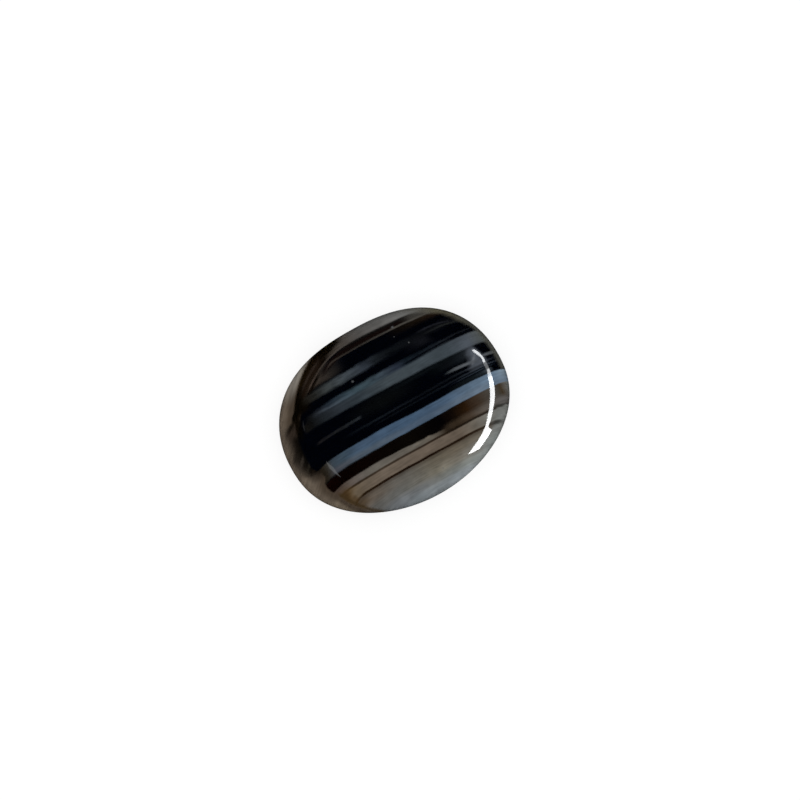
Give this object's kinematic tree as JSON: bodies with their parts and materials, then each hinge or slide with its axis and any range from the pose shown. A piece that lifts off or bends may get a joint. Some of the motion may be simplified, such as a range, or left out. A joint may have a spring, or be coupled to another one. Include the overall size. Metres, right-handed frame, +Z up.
{
  "type": "agate cabochon",
  "caption": "Polished oval agate cabochon with a flat back, a smooth dome and straight bands in black, blue-grey and brown.",
  "frame": {"origin": "centre of the flat back, on the surface that the stone lies on", "axes": "+X along the stone's long side and its bands, +Y towards its squarer flank, +Z up through the dome"},
  "size_m": [0.0164, 0.013, 0.005],
  "materials": {
    "polished_agate": "polished"
  },
  "bodies": {
    "root": {"agate_cabochon": "polished_agate"}
  },
  "joints": []
}
